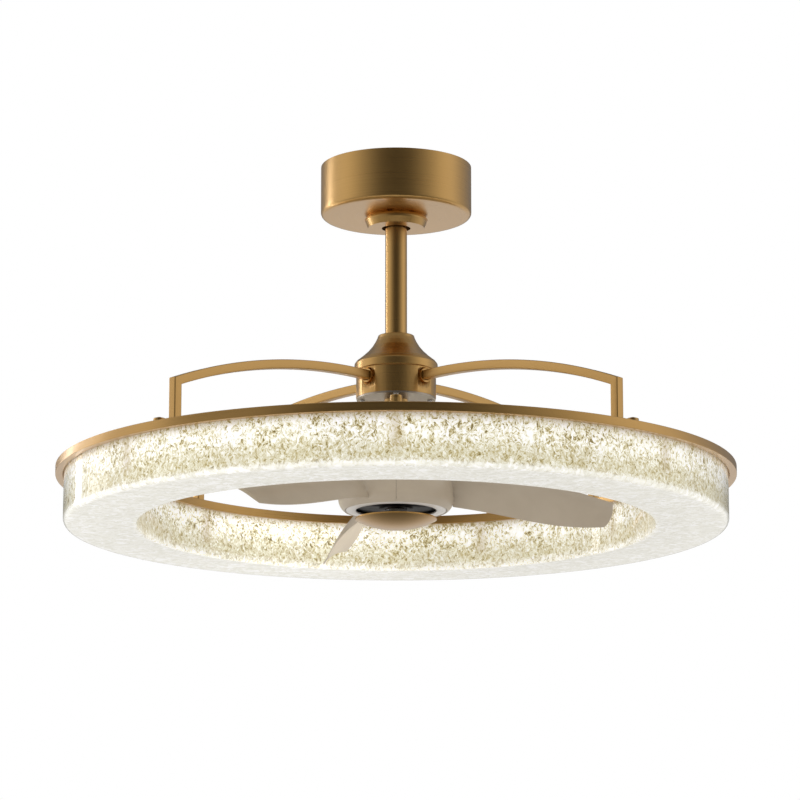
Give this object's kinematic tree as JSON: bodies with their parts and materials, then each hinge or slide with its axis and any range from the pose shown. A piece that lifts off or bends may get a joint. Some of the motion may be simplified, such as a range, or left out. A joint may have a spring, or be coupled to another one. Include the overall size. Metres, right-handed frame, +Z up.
{
  "type": "chandelier ceiling fan",
  "caption": "Brushed-brass ceiling fan with short blades turning inside a frosted ring light, which hangs on arched arms from a downrod and a round canopy.",
  "frame": {"origin": "centre of the ceiling plane, on top of the bracket, midway between the two ceiling screw holes", "axes": "+Z up along the downrod; +X along the line of the ceiling screw holes; the picture looks along +Y"},
  "size_m": [0.7999, 0.8, 0.4438],
  "materials": {
    "brushed_brass": "brushed",
    "plated_base": "satin",
    "zinc_steel": "satin",
    "bright_steel": "satin",
    "bronze_bolt": "satin",
    "black_plastic": "matte",
    "white_plastic": "matte",
    "frosted_acrylic": "frosted",
    "ice_acrylic": "crackled",
    "led_board": "satin",
    "led_chip": "gloss",
    "black_enamel": "satin",
    "copper_wire": "gloss",
    "taupe_plastic": "satin",
    "pale_plastic": "satin"
  },
  "bodies": {
    "bracket": {"ceiling_bracket": "zinc_steel", "receiver_box": "black_plastic", "terminal_block": "white_plastic", "canopy": "brushed_brass", "canopy_collar": "brushed_brass", "canopy_screws": "bright_steel"},
    "pendant": {"hanger_ball": "black_plastic", "hanger_pin": "bright_steel", "ball_set_screw": "bright_steel", "downrod": "brushed_brass", "yoke_cover": "brushed_brass", "rod_coupling": "zinc_steel", "coupling_pin": "bright_steel", "coupling_screws": "bright_steel", "flange_screws": "bright_steel", "arm_hub": "brushed_brass", "hub_base": "plated_base", "hub_base_screws": "bright_steel", "led_driver": "white_plastic", "arm_rear_right": "brushed_brass", "arm_rear_left": "brushed_brass", "arm_front_left": "brushed_brass", "arm_front_right": "brushed_brass", "arm_sockets": "brushed_brass", "arm_nuts": "bright_steel", "foot_screws": "bright_steel", "ring_plate": "brushed_brass", "acrylic_ring": "frosted_acrylic", "ice_liner": "ice_acrylic", "led_board": "led_board", "led_chips": "led_chip", "ring_bolts": "bronze_bolt", "ring_knobs": "brushed_brass", "lower_stem": "brushed_brass", "motor_flange": "zinc_steel", "motor_pin": "bright_steel", "motor_screws": "bright_steel", "stator_shaft": "zinc_steel", "stator_core": "zinc_steel", "stator_coils": "copper_wire", "shaft_nut": "bright_steel", "end_cap": "brushed_brass"},
    "rotor": {"rotor_shell": "black_enamel", "rotor_base": "black_enamel", "magnet_ring": "black_enamel", "upper_bearing": "bright_steel", "lower_bearing": "bright_steel", "rotor_screws": "bright_steel", "blade_1": "taupe_plastic", "blade_2": "taupe_plastic", "blade_3": "taupe_plastic", "blade_screws": "bright_steel", "blade_ring": "pale_plastic"}
  },
  "joints": [
    {"name": "hanger_swing", "type": "hinge", "parent": "bracket", "child": "pendant", "pos_m": [0, 0, -0.0357], "axis": [1, 0, 0], "range_deg": [-4, 4]},
    {"name": "rotor_spin", "type": "hinge", "parent": "pendant", "child": "rotor", "pos_m": [0, 0, -0.4], "axis": [0, 0, 1], "continuous": true}
  ]
}
